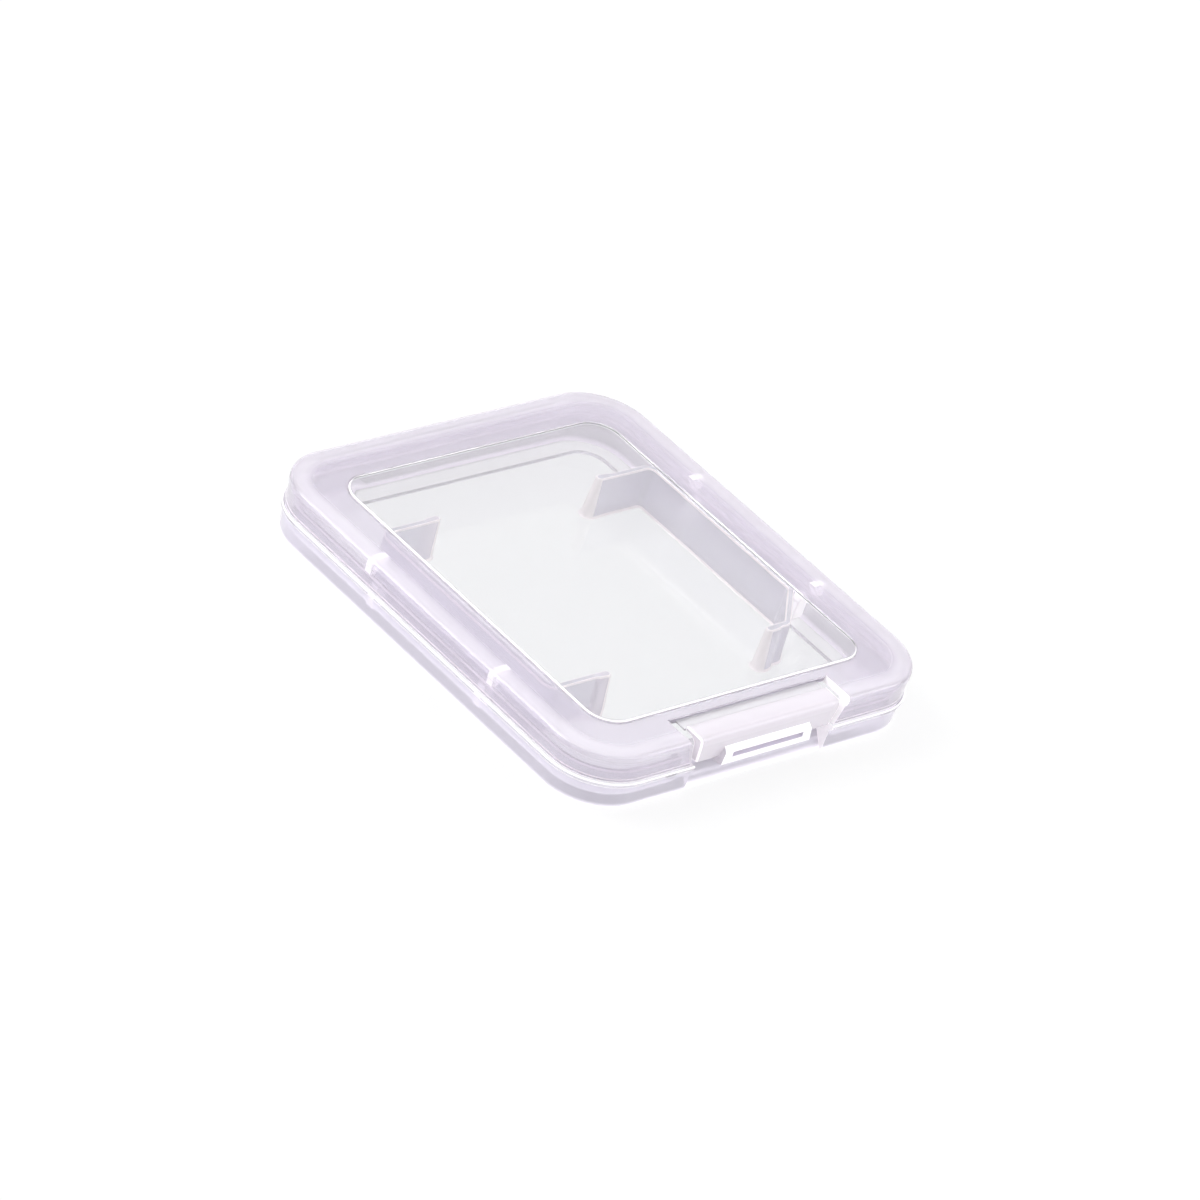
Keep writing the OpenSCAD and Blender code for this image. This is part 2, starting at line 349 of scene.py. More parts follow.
def loop_points(inset, z, corner):
    """Ring round the case at an inset and a height. The function corner gives its radius."""
    r = corner(inset)
    ring = []
    for quarter, (side_x, side_y) in enumerate(((1, 1), (-1, 1), (-1, -1), (1, -1))):
        for step in range(CORNER_STEPS + 1):
            turn = math.radians(90 * quarter + 90 * step / CORNER_STEPS)
            x = side_x * (HALF_W - inset - r) + r * math.cos(turn)
            y = side_y * (HALF_L - inset - r) + r * math.sin(turn)
            ring.append((x * MM, y * MM, z * MM))
    return ring


def new_mesh(name):
    """Mesh with empty slots for its skin and for the paler plastic that paints highlights on its edges."""
    mesh = bpy.data.meshes.new(name)
    for _ in (SKIN, EDGE_HIGHLIGHT):
        mesh.materials.append(None)
    return mesh


def add_object(name, mesh):
    piece = bpy.data.objects.new(name, mesh)
    scene.collection.objects.link(piece)
    return piece


def loft(name, rings, closed=False, highlight_bands=(), highlight_columns=()):
    """Mesh through rings of equal length.

    Where it is closed the last ring joins the first, and else both ends are capped. A band
    lies between two rings, and a column between two neighbouring points of all rings. The
    given bands and columns get the paler plastic that paints highlights on edges.
    """
    mesh = new_mesh(name)
    bm = bmesh.new()
    verts = [[bm.verts.new(p) for p in ring] for ring in rings]
    count = len(rings[0])
    pairs = zip(verts, verts[1:] + verts[:1]) if closed else zip(verts, verts[1:])
    for band, (low, high) in enumerate(pairs):
        for i in range(count):
            j = (i + 1) % count
            face = bm.faces.new((low[i], low[j], high[j], high[i]))
            face.material_index = EDGE_HIGHLIGHT if band in highlight_bands or i in highlight_columns else SKIN
    if not closed:
        bm.faces.new(list(reversed(verts[0])))
        bm.faces.new(verts[-1])
    bmesh.ops.recalc_face_normals(bm, faces=bm.faces)
    bm.to_mesh(mesh)
    bm.free()
    return add_object(name, mesh)


def sweep(name, profile, corner, closed=True):
    """Profile carried round the case."""
    rings = [loop_points(inset, z, corner) for inset, z, _ in profile]
    return loft(name, rings, closed, highlight_bands=highlight_indices(profile))


def inward(profile, amount):
    """A closed profile moved inwards by an amount, for the rounded end of a bar."""
    sharpest = 0.5
    count = len(profile)
    spots = [Vector((x, y)) for x, y, _ in profile]
    area = sum(a.cross(b) for a, b in zip(spots, spots[1:] + spots[:1]))
    side = 1 if area > 0 else -1
    moved = []
    for i, here in enumerate(spots):
        into = (here - spots[i - 1]).normalized()
        onward = (spots[(i + 1) % count] - here).normalized()
        both = (into + onward).normalized()
        normal = Vector((-both.y, both.x)) * side
        upright = Vector((-into.y, into.x)) * side
        spot = here + normal * amount / max(normal.dot(upright), sharpest)
        moved.append((spot.x, spot.y, profile[i][2]))
    return moved


def front_prism(name, profile, half_low, half_high=None, z_low=0.0, z_high=1.0, end_round=0.0):
    """Bar along the front whose half length goes from half_low at z_low to half_high at z_high."""
    steps = END_STEPS if end_round else 0
    stations = []
    for step in range(steps + 1):
        turn = math.radians(90 * step / steps) if steps else 0
        stations.append((end_round * (1 - math.cos(turn)), end_round * (1 - math.sin(turn))))
    rings = []
    for side, ordered in ((-1, stations), (1, reversed(stations))):
        for pull, shrink in ordered:
            ring = []
            for inset, z, _ in inward(profile, shrink) if shrink else profile:
                half = half_low
                if half_high is not None:
                    share = min(max((z - z_low) / (z_high - z_low), 0), 1)
                    half = half_low * (1 - share) + half_high * share
                ring.append((side * (half - pull) * MM, (-HALF_L + inset) * MM, z * MM))
            rings.append(ring)
    # The rounded ends and the profile's marked points get painted edge highlights
    rounds = set(range(steps)) | set(range(steps + 1, 2 * steps + 1))
    return loft(name, rings, highlight_bands=rounds, highlight_columns=highlight_indices(profile))


def hinge_strip(z_low, z_high):
    """Bar along the back that carries one end of the hinge film."""
    x, z0, z1 = HINGE_HALF * MM, z_low * MM, z_high * MM
    y0, y1 = (HALF_L - STRIP_DEEP) * MM, HALF_L * MM
    lower = [(-x, y0, z0), (x, y0, z0), (x, y1, z0), (-x, y1, z0)]
    upper = [(x, y, z1) for x, y, _ in lower]
    return loft("hinge_strip", [lower, upper])


def settle(piece):
    """Makes the modifiers' result the piece's own mesh."""
    bpy.context.view_layer.update()
    graph = bpy.context.evaluated_depsgraph_get()
    mesh = bpy.data.meshes.new_from_object(piece.evaluated_get(graph))
    piece.modifiers.clear()
    piece.data = mesh


def combine(piece, other, operation):
    """Adds another solid to a piece or cuts it away, and removes that solid."""
    step = piece.modifiers.new("combine", "BOOLEAN")
    step.operation = operation
    step.solver = "EXACT"
    step.object = other
    settle(piece)
    bpy.data.objects.remove(other)


def soften(piece, width=0.0, segments=2):
    """Rounds the edges that are still sharp, then shades the piece as one smooth moulding."""
    if width:
        step = piece.modifiers.new("edges", "BEVEL")
        step.width = width * MM
        step.segments = segments
        step.limit_method = "ANGLE"
        step.angle_limit = math.radians(34)
        step.use_clamp_overlap = True
        # The bevel's rounds get the paler plastic that paints highlights on the edges
        step.material = EDGE_HIGHLIGHT
        settle(piece)
    bm = bmesh.new()
    bm.from_mesh(piece.data)
    bmesh.ops.remove_doubles(bm, verts=bm.verts, dist=MERGE)
    bmesh.ops.dissolve_degenerate(bm, edges=bm.edges, dist=MERGE)
    bmesh.ops.recalc_face_normals(bm, faces=bm.faces)
    bm.to_mesh(piece.data)
    bm.free()
    piece.data.shade_smooth()
    piece.data.set_sharp_from_angle(angle=math.radians(50))
    step = piece.modifiers.new("shading", "WEIGHTED_NORMAL")
    step.keep_sharp = True
    step.weight = 100
    settle(piece)
    return piece


def add_look(piece, look):
    """Adds one more plastic to a piece and gives the number of its slot."""
    piece.data.materials.append(look)
    return len(piece.data.materials) - 1


def inset_of(point):
    """How far a point lies inside the flange's outline, in millimetres."""
    across = abs(point.x) / MM - (HALF_W - CORNER_R)
    along = abs(point.y) / MM - (HALF_L - CORNER_R)
    beyond = math.hypot(max(across, 0), max(along, 0)) + min(max(across, along), 0)
    return CORNER_R - beyond


def paint_end_highlights(piece, reach):
    """Paints highlights on the end faces of the latch's opening or recess, with the paler plastic of the
    edges.
    """
    facing = 0.6
    for face in piece.data.polygons:
        near = abs(face.center.x) < reach * MM and inset_of(face.center) < GROOVE_IN
        if near and abs(face.normal.x) > facing and face.center.y < 0:
            face.material_index = EDGE_HIGHLIGHT


def make_lid_frame():
    """Skirt, bend and rim, with the opening for the flap."""
    edge_in = RIM_W - SEAM
    chamfer, chamfer_z, crease_z = 0.07, CASE_H - 0.13, CASE_H - 0.21
    foot_z = PART_Z + SHUT_GAP
    # Points marked "edge" get painted highlights on their rounds
    profile = fillet([
        (SKIRT_IN, foot_z, 0.12, "edge"),
        (SKIRT_IN, BEND_LOW_Z, 0.03),
        (BEND_IN, BEND_LOW_Z, 0.04),
        (BEND_IN, BEND_Z, BEND_R),
        (edge_in - chamfer, chamfer_z, 0.05),
        (edge_in, crease_z, 0.03),
        (edge_in, UNDER_Z, 0.12),
        (SKIRT_INNER, UNDER_Z, 0.6),
        (SKIRT_INNER, foot_z, 0.1, "edge"),
    ])
    lid = sweep("lid_moulding", profile, lid_corner)
    combine(lid, hinge_strip(foot_z, PART_Z + STRIP_H), "UNION")
    low, high = OPENING_LOW, OPENING_HIGH
    outline = [
        (-low, PART_Z - PAST), (low, PART_Z - PAST), (low, PART_Z), (high, BEND_Z),
        (high, CASE_H + PAST), (-high, CASE_H + PAST), (-high, BEND_Z), (-low, PART_Z),
    ]
    rings = [
        [(x * MM, y * MM, z * MM) for x, z in outline]
        for y in (-HALF_L - PAST, -HALF_L + GROOVE_IN)
    ]
    combine(lid, loft("opening", rings), "DIFFERENCE")
    soften(lid, width=0.3, segments=3)
    paint_end_highlights(lid, OPENING_HIGH + 0.1)
    return lid


def make_window():
    """Thick panel with a small chamfer round its upper face."""
    inner = RIM_W + 1.2
    under_z = CASE_H - WINDOW_T
    chamfer, chamfer_z = 0.16, CASE_H - 0.17
    # The marked run along the chamfer gets a painted highlight line
    profile = fillet([
        (inner, under_z, 0),
        (RIM_W, under_z, 0.12),
        (RIM_W, chamfer_z, 0.03, "run"),
        (RIM_W + chamfer, CASE_H, 0.05),
        (inner, CASE_H, 0),
    ], closed=False)
    return soften(sweep("window_panel", profile, lid_corner, closed=False))


def make_tray():
    """Floor, wall, flange and tongue, with the recess at the front."""
    under_in, foot_in, wall_in = 3.0, 0.45, 0.3
    wall_top_z, flange_low_z = 2.78, 2.88
    # Points marked "edge" get painted highlights on their rounds
    profile = fillet([
        (under_in, 0, 0),
        (foot_in, 0, 0.7, "edge"),
        (wall_in, wall_top_z, 0.06),
        (0, flange_low_z, 0.08, "edge"),
        (0, PART_Z, 0.12, "edge"),
        (TONGUE_IN, PART_Z, 0.06),
        (TONGUE_IN, TONGUE_Z, 0.14, "edge"),
        (BASE_INNER, TONGUE_Z, 0.14, "edge"),
        (BASE_INNER, BORDER_Z, 0.6),
        (FLOOR_BORDER, BORDER_Z, 0.14),
        (FLOOR_BORDER, FLOOR_Z, 0.1),
        (FLOOR_BORDER + 0.8, FLOOR_Z, 0),
    ], closed=False)
    tray = sweep("tray_moulding", profile, base_corner, closed=False)
    seat_in, seat_z = 1.425, 0.6
    back_in = RECESS_D + FLAP_T
    seat = plain([(seat_in, seat_z), (back_in, seat_z), (back_in, TONGUE_Z), (seat_in, TONGUE_Z)])
    combine(tray, front_prism("seat", seat, OPENING_HIGH), "UNION")
    combine(tray, hinge_strip(PART_Z - STRIP_H, PART_Z - 0.003), "UNION")
    sill_in, sill_z, slope_z, over_z = 0.85, 0.45, 2.0, 6.0
    recess = fillet([
        (-PAST, -PAST, 0),
        (sill_in, -PAST, 0),
        (sill_in, sill_z, 0.12),
        (RECESS_D, slope_z, 0.5),
        (RECESS_D, over_z, 0),
        (-PAST, over_z, 0),
    ])
    combine(tray, front_prism("recess", recess, RECESS_HALF), "DIFFERENCE")
    gap = plain([(-PAST, PART_Z), (RECESS_D, PART_Z), (RECESS_D, over_z), (-PAST, over_z)])
    combine(tray, front_prism("gap", gap, OPENING_HIGH), "DIFFERENCE")
    soften(tray, width=0.28, segments=3)
    paint_end_highlights(tray, RECESS_HALF + 0.15)
    sort_tray_faces(tray)
    return tray


def sort_tray_faces(tray):
    """Gives the tray its clear floor and underside, and a milkier, darker plastic on its foot, wall and
    recess, which paints shade there and a glow towards the foot.
    """
    floor_slot = add_look(tray, floor_look)
    # The wall, foot and recess get the darker wall plastic: painted shade that pales into a painted glow
    # at the foot
    shaded_wall_slot = add_look(tray, shaded_wall_look)
    flat = 0.01
    foot_in, foot_z = 1.2, 0.65
    wall_in, wall_z = 0.6, 2.8
    for face in tray.data.polygons:
        inset = inset_of(face.center)
        z = face.center.z / MM
        in_front = abs(face.center.x) < (RECESS_HALF - PLAY) * MM and face.center.y < 0
        in_recess = in_front and inset < RECESS_D + PLAY
        on_foot = inset < foot_in and z < foot_z
        on_wall = (inset < wall_in or in_recess) and z < wall_z and face.material_index == SKIN
        if z < flat or (inset > FLOOR_BORDER - PLAY and z < FLOOR_Z + flat):
            face.material_index = floor_slot
        elif on_foot or on_wall:
            face.material_index = shaded_wall_slot


def fence_line(cut):
    """Middle line of a fence round one end of the bay, from tip to tip, in small steps."""
    long_side, step_length = 0.5, 0.2
    corner_r, cut_r = 1.0, 0.9
    outer_x = BAY_HALF_L + FENCE_HALF_T
    outer_y = BAY_HALF_W + FENCE_HALF_T
    tip = BAY_HALF_L - FENCE_ARM
    corners = [(tip, outer_y, 0), (outer_x, outer_y, corner_r)]
    if cut:
        lean = CARD_CUT + FENCE_HALF_T * (2 - math.sqrt(2))
        corners += [(outer_x, -outer_y + lean, cut_r), (outer_x - lean, -outer_y, cut_r)]
    else:
        corners += [(outer_x, -outer_y, corner_r)]
    corners += [(tip, -outer_y, 0)]
    rough = [Vector((x, y)) for x, y, _ in fillet(corners, closed=False)]
    line = []
    for a, b in zip(rough, rough[1:]):
        length = (b - a).length
        cuts = math.ceil(length / step_length) if length > long_side else 1
        line += [a.lerp(b, i / cuts) for i in range(cuts)]
    line.append(rough[-1])
    return line


def tip_cap(start, end, outward):
    """Half circle between the two sides of a fence, without its first and last point."""
    middle = (start + end) / 2
    spoke = start - middle
    ahead = outward.normalized()
    turns = [math.pi * i / (TIP_POINTS + 1) for i in range(1, TIP_POINTS + 1)]
    return [middle + spoke * math.cos(t) + ahead * spoke.length * math.sin(t) for t in turns]


def fence_outline(line, along, z):
    """Outline of a fence at a height above its foot. Its posts stand out more on one side."""
    top_shrink, post_left, post_right = 0.14, 1.28, 0.7
    rise = z / FENCE_H
    wall = FENCE_HALF_T * (1 - FENCE_TAPER * rise)
    post = POST_LOW * (1 - rise) + POST_HIGH * rise
    top = max(0.0, z - (FENCE_H - FENCE_ROUND)) / FENCE_ROUND
    shrink = top_shrink * (1 - math.sqrt(max(0.0, 1 - top * top)))
    flare = FLARE_OUT * max(0.0, 1 - z / FLARE_H) ** 2
    left, right = [], []
    for i, spot in enumerate(line):
        ahead = line[min(i + 1, len(line) - 1)] - line[max(i - 1, 0)]
        normal = Vector((-ahead.y, ahead.x)).normalized()
        near = min(along[i], along[-1] - along[i])
        swell = math.sqrt(max(0.0, 1 - (near / POST_REACH) ** 2))
        left.append(spot + normal * (wall + (post * post_left - wall) * swell - shrink + flare))
        right.append(spot - normal * (wall + (post * post_right - wall) * swell - shrink + flare))
    right.reverse()
    last_cap = tip_cap(left[-1], right[0], line[-1] - line[-2])
    first_cap = tip_cap(right[-1], left[0], line[0] - line[1])
    return left + last_cap + right + first_cap


def make_fence(name, side, cut):
    """C-shaped wall round one end of the card, thinner at its top, with a flared foot."""
    line = fence_line(cut)
    along = [0.0]
    for a, b in zip(line, line[1:]):
        along.append(along[-1] + (b - a).length)
    foot_levels = [0, 0.05, 0.11, FLARE_H]
    wall_levels = [0.9, 1.6, 2.4, 3.2, 3.9]
    top_levels = [FENCE_H - drop for drop in (FENCE_ROUND, 0.12, 0.07, 0.03, 0.008, 0)]
    levels = foot_levels + wall_levels + top_levels
    # The foot, the rounded top and both tips get the post plastic, which paints highlights on them
    foot_bands = set(range(len(foot_levels) - 1))
    top_bands = set(range(len(foot_levels + wall_levels), len(levels) - 1))
    rings = []
    for z in levels:
        height = (FLOOR_Z + FENCE_LIFT + z) * MM
        outline = fence_outline(line, along, z)
        rings.append([(side * p.x * MM, (side * p.y + BAY_Y) * MM, height) for p in outline])
    count = len(line)
    last_tip = set(range(count - 1, count + TIP_POINTS))
    first_tip = set(range(2 * count + TIP_POINTS - 1, 2 * (count + TIP_POINTS)))
    fence = loft(name, rings, highlight_bands=foot_bands | top_bands, highlight_columns=last_tip | first_tip)
    return soften(fence)


def make_flap():
    """Sprung flap with the rim's own bend, a thumb lip with a slot, and a bead inside."""
    inner = FLAP_FACE_IN + FLAP_T
    half_low, half_high, rim_drop, end_round = 8.5, 8.98, 0.135, 0.18
    profile = fillet([
        (FLAP_FACE_IN, FLAP_Z, 0.2),
        (BEND_IN, BEND_LOW_Z, 0.6),
        (BEND_IN, BEND_Z, BEND_R),
        (FLAP_IN, CASE_H - rim_drop, 0.2),
        (FLAP_IN, UNDER_Z, 0.2),
        (inner, UNDER_Z, 0.6),
        (inner, FLAP_Z, 0.2),
    ])
    flap = front_prism("latch_flap_moulding", profile, half_low, half_high, FLAP_Z, CASE_H, end_round)
    lip_half, lip_top_half, lip_out = 5.7, 5.4, 0.25
    lip_z, lip_top_z = 2.75, BEND_LOW_Z - 0.6
    bead_in, bead_z, bead_top_z = 1.44, 3.05, 3.25
    lip = fillet([
        (FLAP_FACE_IN + BITE, lip_top_z, 0),
        (-lip_out, lip_top_z - lip_out - FLAP_FACE_IN, 0.25),
        (-lip_out, lip_z, 0.12),
        (inner - BITE, lip_z, 0.05),
        (bead_in, lip_z + 0.2, 0.08),
        (bead_in, bead_z, 0.08),
        (inner - BITE, bead_top_z, 0),
        (inner - BITE, lip_top_z, 0),
    ])
    combine(flap, front_prism("lip", lip, lip_half, lip_top_half, lip_z, lip_top_z), "UNION")
    slot_half, slot_h, slot_in = 4.5, 0.55, 0.45
    slot_z = (lip_z + lip_top_z - slot_h) / 2
    slot_top_z = slot_z + slot_h
    slot = plain([(-PAST, slot_z), (slot_in, slot_z), (slot_in, slot_top_z), (-PAST, slot_top_z)])
    combine(flap, front_prism("slot", slot, slot_half), "DIFFERENCE")
    soften(flap, width=0.2, segments=3)
    # The slot's faces get the darker wall plastic: painted shade in the slot
    painted_slot_shade = add_look(flap, shaded_wall_look)
    for face in flap.data.polygons:
        across = max(abs(flap.data.vertices[v].co.x) for v in face.vertices) / MM
        inset = face.center.y / MM + HALF_L
        z = face.center.z / MM
        in_slot = across < slot_half + PLAY and slot_z - PLAY < z < slot_top_z + PLAY
        if in_slot and -lip_out + PLAY < inset < slot_in + PLAY:
            face.material_index = painted_slot_shade
        # The lip's front gets the paler plastic that paints a highlight on it
        elif across < lip_half + PLAY and inset < FLAP_FACE_IN and z < lip_top_z + PLAY:
            face.material_index = EDGE_HIGHLIGHT
    return flap


def make_catch():
    """Ledge at the back of the recess, sloped below and bevelled above its nose."""
    back_in, nose_in, top_in = RECESS_D + BITE, 1.5, 1.7
    low_z, nose_z, nose_top_z, top_z = 3.05, 3.45, 3.8, 4.0
    profile = fillet([
        (back_in, low_z, 0),
        (nose_in, nose_z, 0.1),
        (nose_in, nose_top_z, 0.1),
        (top_in, top_z, 0.08),
        (back_in, top_z, 0),
    ])
    return soften(front_prism("catch_ledge", profile, half_low=5.0), width=0.06)


def make_ribs(name, profile, distance, thickness):
    """The four ribs of one shell, joined in one piece: a pair on each long side."""
    whole = bmesh.new()
    for side, y in ((-1, -distance), (-1, distance), (1, -distance), (1, distance)):
        near, far = [
            [whole.verts.new((side * (HALF_W - inset) * MM, (y + end) * MM, z * MM))
             for inset, z in profile]
            for end in (-thickness / 2, thickness / 2)
        ]
        for i in range(len(profile)):
            j = (i + 1) % len(profile)
            whole.faces.new((near[i], near[j], far[j], far[i]))
        whole.faces.new(near)
        whole.faces.new(far)
    bmesh.ops.recalc_face_normals(whole, faces=whole.faces)
    mesh = new_mesh(name)
    whole.to_mesh(mesh)
    whole.free()
    return soften(add_object(name, mesh), width=0.09)


def make_lid_ribs():
    skirt_in, under_z = SKIRT_INNER - BITE, UNDER_Z + BITE
    toe_in, toe_z, heel_in, heel_z = 1.75, 4.3, 2.6, 5.5
    profile = [
        (skirt_in, toe_z), (toe_in, toe_z), (heel_in, heel_z), (heel_in, under_z), (skirt_in, under_z),
    ]
    return make_ribs("lid_rib_set", profile, distance=9.1, thickness=0.9)


def make_base_ribs():
    wall_in, border_z = BASE_INNER - BITE, BORDER_Z - BITE
    toe_in, lean_in, lean_z, top_in, top_z = 3.0, 2.9, 3.0, 2.35, 3.65
    profile = [
        (wall_in, border_z), (toe_in, border_z), (lean_in, lean_z), (top_in, top_z), (wall_in, top_z),
    ]
    return make_ribs("base_rib_set", profile, distance=8.0, thickness=1.1)


def film_strip(name, outline, half):
    """Film with its section (y, z) carried along x, cut across so that it bends smoothly."""
    stations = [-half + i * 2 * half / FILM_CUTS for i in range(FILM_CUTS + 1)]
    rings = [[(x * MM, y * MM, z * MM) for y, z in outline] for x in stations]
    return soften(loft(name, rings))


def fold_line(r):
    """One face of the folded hinge film, from the base round the fold to the lid."""
    run_steps, turn_steps, grip = 5, 16, 0.12
    low = [(HALF_L + HINGE_OUT * step / run_steps, PART_Z - r) for step in range(run_steps)]
    high = [(y, PART_Z + r) for y, _ in reversed(low)]
    turns = [math.radians(-90 + 180 * step / turn_steps) for step in range(turn_steps + 1)]
    fold = [(HALF_L + HINGE_OUT + r * math.cos(t), PART_Z + r * math.sin(t)) for t in turns]
    return [(HALF_L - grip, PART_Z - r)] + low + fold + high + [(HALF_L - grip, PART_Z + r)]


def make_hinge_film():
    """Film folded round the hinge axis."""
    outline = fold_line(FOLD_GAP + FILM_T) + list(reversed(fold_line(FOLD_GAP)))
    return film_strip("hinge_film_strip", outline, HINGE_HALF - 0.05)


def make_latch_film():
    """Thin strip between the rim and the flap, a little thinner along its middle."""
    back = -HALF_L + GROOVE_IN + BITE
    front = -HALF_L + FLAP_IN - BITE
    steps, deepest = 10, 0.045
    upper, lower = [], []
    for step in range(steps + 1):
        share = step / steps
        dip = deepest * math.sin(math.pi * share)
        y = back + (front - back) * share
        upper.append((y, FILM_Z - dip))
        lower.append((y, FILM_Z - FILM_T + dip))
    return film_strip("latch_film_strip", upper + list(reversed(lower)), half=9.0)


def bend_highlight_share(tree, where):
    """How much of the bend's painted highlight, a paler look, a spot has.

    It is most along the bend's crest, and none below it or further in on the rim.
    """
    most = 0.26
    outer = CORNER_R * MM
    inner = outer - 2.7 * MM
    above_all = 1.0
    straight = ((HALF_W - CORNER_R) * MM, (HALF_L - CORNER_R) * MM, above_all)
    place = vector_step(tree, "ABSOLUTE", where["Object"])
    past = vector_step(tree, "SUBTRACT", place.outputs["Vector"], straight)
    outward = vector_step(tree, "MAXIMUM", past.outputs["Vector"], (0.0, 0.0, 0.0))
    reach = vector_step(tree, "LENGTH", outward.outputs["Vector"]).outputs["Value"]
    inset = add_node(tree, "ShaderNodeMapRange", {"Value": reach, "From Min": inner, "From Max": outer})
    crest = add_node(tree, "ShaderNodeValToRGB", {"Fac": inset.outputs["Result"]})
    crest.color_ramp.interpolation = "EASE"
    stops = crest.color_ramp.elements
    stops[0].position = 0.0
    stops[1].position = 1.0
    stops[0].color = stops[1].color = (0, 0, 0, 1)
    for position in (0.5, 0.8):
        stops.new(position).color = (most, most, most, 1)
    facing = add_node(tree, "ShaderNodeSeparateXYZ", {"Vector": where["Normal"]})
    upward = add_node(tree, "ShaderNodeMapRange", {
        "Value": facing.outputs["Z"], "From Min": 0.2, "From Max": 0.7,
    }, interpolation_type="SMOOTHSTEP")
    return math_step(tree, "MULTIPLY", crest.outputs["Color"], upward.outputs["Result"])


def foot_glow_share(tree, where):
    """How much of the foot's painted glow, a paler look, a spot has: all at the table, none above the
    round.
    """
    place = add_node(tree, "ShaderNodeSeparateXYZ", {"Vector": where["Object"]})
    height = add_node(tree, "ShaderNodeMapRange", {
        "Value": place.outputs["Z"], "From Min": 0.95 * MM, "From Max": 0.15 * MM,
    }, interpolation_type="SMOOTHSTEP")
    return height.outputs["Result"]


def plastic(name, tint, rough, clear, mottle=0.02, grain=0.03, glow=0.0, painted_light_share=None, painted_light_glow=0.0):
    """Moulded clear plastic: a slow cloudiness in its colour and a faint unevenness in its polish.

    glow is the strength of a painted glow, an emission that stands for light which the plastic
    guides along itself to ribs and rounded edges. An optional function gives the share of a
    paler, less clear look at each spot, which paints a highlight or a glow there, and a second
    strength gives the painted glow where that share is 1.
    """
    # Colour of the painted highlight or glow
    painted_light_tint = (1.0, 0.965, 0.995, 1)
    material, tree = new_material(name)
    where = add_node(tree, "ShaderNodeTexCoord").outputs
    cloud = add_node(tree, "ShaderNodeTexNoise", {"Vector": where["Object"], "Scale": 90.0, "Detail": 3.0})
    colour = add_node(tree, "ShaderNodeValToRGB", {"Fac": cloud.outputs["Fac"]})
    low, high = colour.color_ramp.elements
    low.position = 0.3
    low.color = (*[c * (1 - mottle) for c in tint], 1)
    high.position = 0.7
    high.color = (*tint, 1)
    fine = add_node(tree, "ShaderNodeTexNoise", {"Vector": where["Object"], "Scale": 600.0})
    skin = add_node(tree, "ShaderNodeBsdfPrincipled", {
        "Base Color": colour.outputs["Color"],
        "Roughness": between(tree, fine.outputs["Fac"], rough - grain, rough + grain),
        "Transmission Weight": clear,
        "IOR": 1.45,
        "Coat Weight": 0.5,
        "Coat Roughness": 0.22,
        # Emission in the plastic's own tint paints a glow
        "Emission Color": (*tint, 1),
        "Emission Strength": glow,
    })
    if painted_light_share:
        share = painted_light_share(tree, where)
        painted_light_mix = add_node(tree, "ShaderNodeMix", {
            "Factor": share, "A_Color": colour.outputs["Color"], "B_Color": painted_light_tint,
        }, data_type="RGBA")
        tree.links.new(socket(painted_light_mix.outputs, "Result_Color"), skin.inputs["Base Color"])
        tree.links.new(between(tree, share, clear, 0.0), skin.inputs["Transmission Weight"])
        tree.links.new(between(tree, share, glow, painted_light_glow), skin.inputs["Emission Strength"])
    add_node(tree, "ShaderNodeOutputMaterial", {"Surface": skin.outputs["BSDF"]})
    return material


def dress(piece, look, body, *replaced, slot, edges=None):
    """Gives a piece its plastics, the body that it moves with, and the solids it stands for."""
    piece.data.materials[SKIN] = look
    # The second slot holds the paler plastic that paints highlights on the edges
    piece.data.materials[EDGE_HIGHLIGHT] = edges or edge_highlight_look
    if body:
        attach(piece, body)
    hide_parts(*replaced)
    return piece


make_camera()
make_world()
make_floor()
area_light("top_panel", place=(0.15, 0.3, 0.8), side=0.6, power=0.6)
area_light("left_back_lamp", place=(-0.38, 0.38, 0.46), side=0.45, power=2.7)
area_light("right_front_lamp", place=(0.455, -0.375, 0.375), side=0.4, power=1.3)

# Plastics
# The lid is paler and less clear along its bend: a painted highlight
lid_look = plastic("hazy_lavender_lid", (0.903, 0.859, 0.943), rough=0.17, clear=0.77,
                   painted_light_share=bend_highlight_share)
base_look = plastic("hazy_lavender_base", (0.965, 0.945, 0.99), rough=0.12, clear=0.8)
# Milkier, darker copy of the base plastic: it paints shade on the wall, recess and the flap's slot, with a
# faint painted glow and a stronger one towards the foot
shaded_wall_look = plastic("milky_base_wall_painted_shade_and_glow", (0.775, 0.732, 0.835), rough=0.2, clear=0.4, glow=0.1,
                    painted_light_share=foot_glow_share, painted_light_glow=0.55)
floor_look = plastic("clear_floor", (0.932, 0.938, 0.958), rough=0.06, clear=0.95,
                     mottle=0.003, grain=0.01)
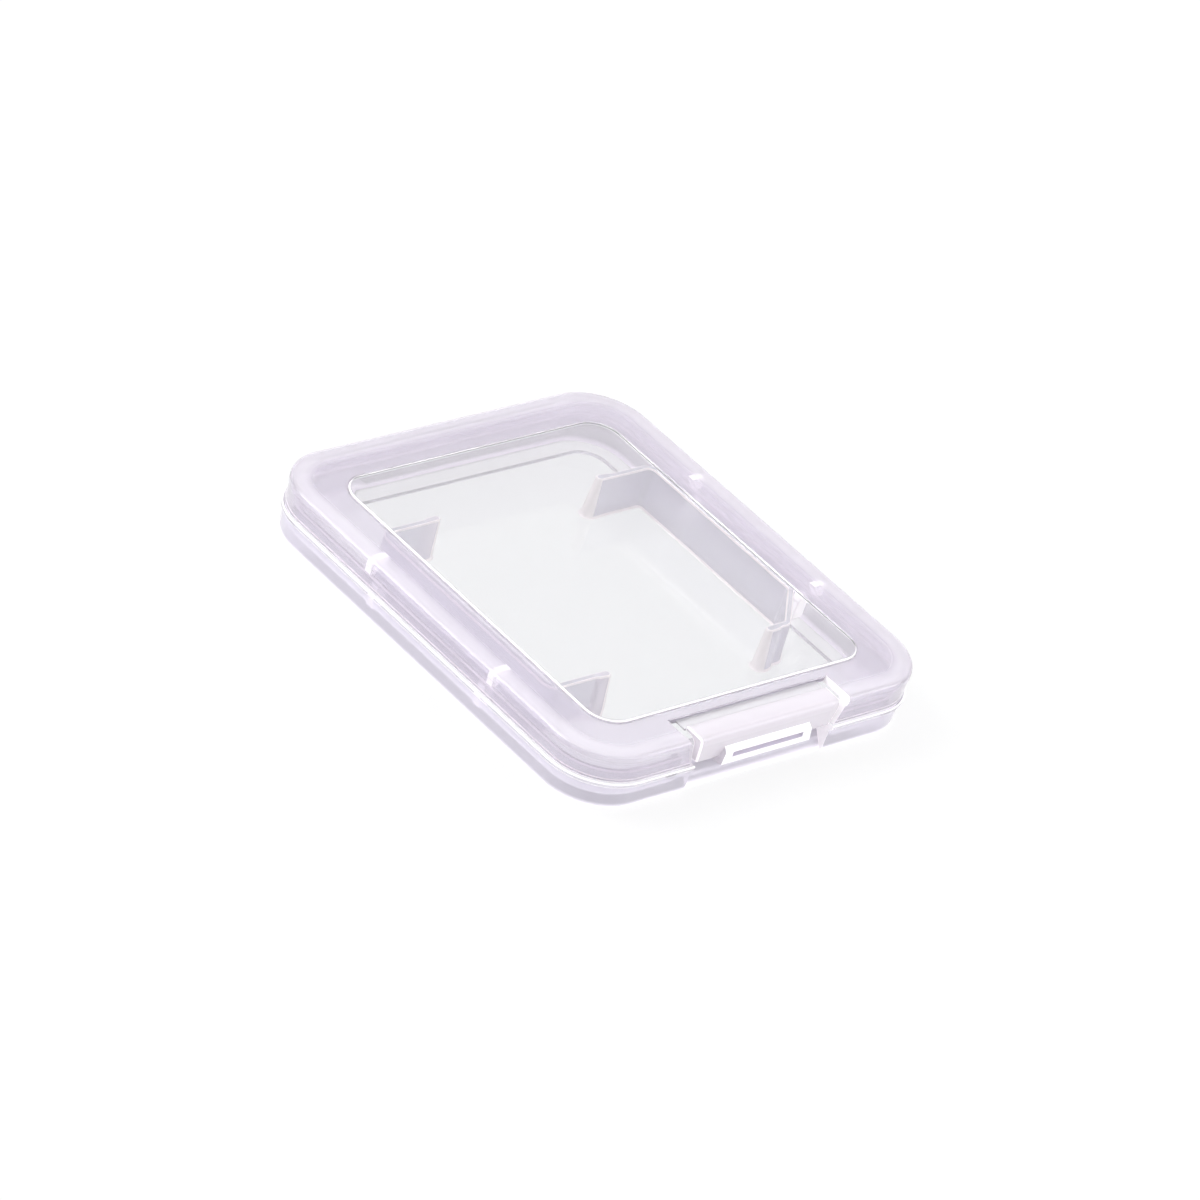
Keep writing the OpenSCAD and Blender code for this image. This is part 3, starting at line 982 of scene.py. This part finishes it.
# Fence plastic with a faint painted glow
fence_look = plastic("fence_plastic", (0.91, 0.882, 0.98), rough=0.1, clear=0.5, glow=0.05)
# Near-white, opaque ribs with a strong painted glow
glowing_rib_look = plastic("rib_plastic_painted_glow", (1.0, 0.98, 0.99), rough=0.35, clear=0.0, glow=0.5)
flap_look = plastic("flap_plastic", (0.97, 0.922, 0.98), rough=0.15, clear=0.4)
panel_look = plastic("clear_window", (0.998, 0.998, 1.0), rough=0.04, clear=0.98,
                     mottle=0.003, grain=0.01)
film_look = plastic("milky_film", (0.975, 0.955, 0.99), rough=0.25, clear=0.6)
# Near-white plastic with a painted glow that paints highlights on the fences' posts, top and foot
post_highlight_look = plastic("painted_post_highlight", (1.0, 0.94, 0.96), rough=0.25, clear=0.1, glow=0.22)
# Paler, nearly opaque plastic with a painted glow: it paints highlights on rounded edges
edge_highlight_look = plastic("painted_edge_highlight", (1.0, 0.962, 0.988), rough=0.25, clear=0.1, glow=0.2)

# Pieces
SHELL = "tinted_clear_shell"
dress(make_lid_frame(), lid_look, "lid", "lid_frame", slot=SHELL)
dress(make_window(), panel_look, "lid", "lid_window", slot="clear_panel")
dress(make_tray(), base_look, "base", "base_tray", slot=SHELL)
# The fences' edge slot holds the post plastic with its painted highlights
for name, side, cut, node in (
    ("left_fence", -1, False, "card_fence_left"),
    ("right_fence", 1, True, "card_fence_right"),
):
    dress(make_fence(name, side, cut), fence_look, "base", node, slot=SHELL, edges=post_highlight_look)
dress(make_flap(), flap_look, "latch", "latch_flap", slot=SHELL)
dress(make_catch(), base_look, "base", "latch_catch", slot=SHELL)
dress(make_lid_ribs(), glowing_rib_look, "lid", "lid_ribs", slot=SHELL)
dress(make_base_ribs(), glowing_rib_look, "base", "base_ribs", slot=SHELL)

# Films between the two bodies that they join, tied to neither body
hinge = dress(make_hinge_film(), film_look, None, "hinge_film", slot="milky_film")
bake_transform(hinge)
strip = dress(make_latch_film(), film_look, None, "latch_film", slot="milky_film")
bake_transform(strip)
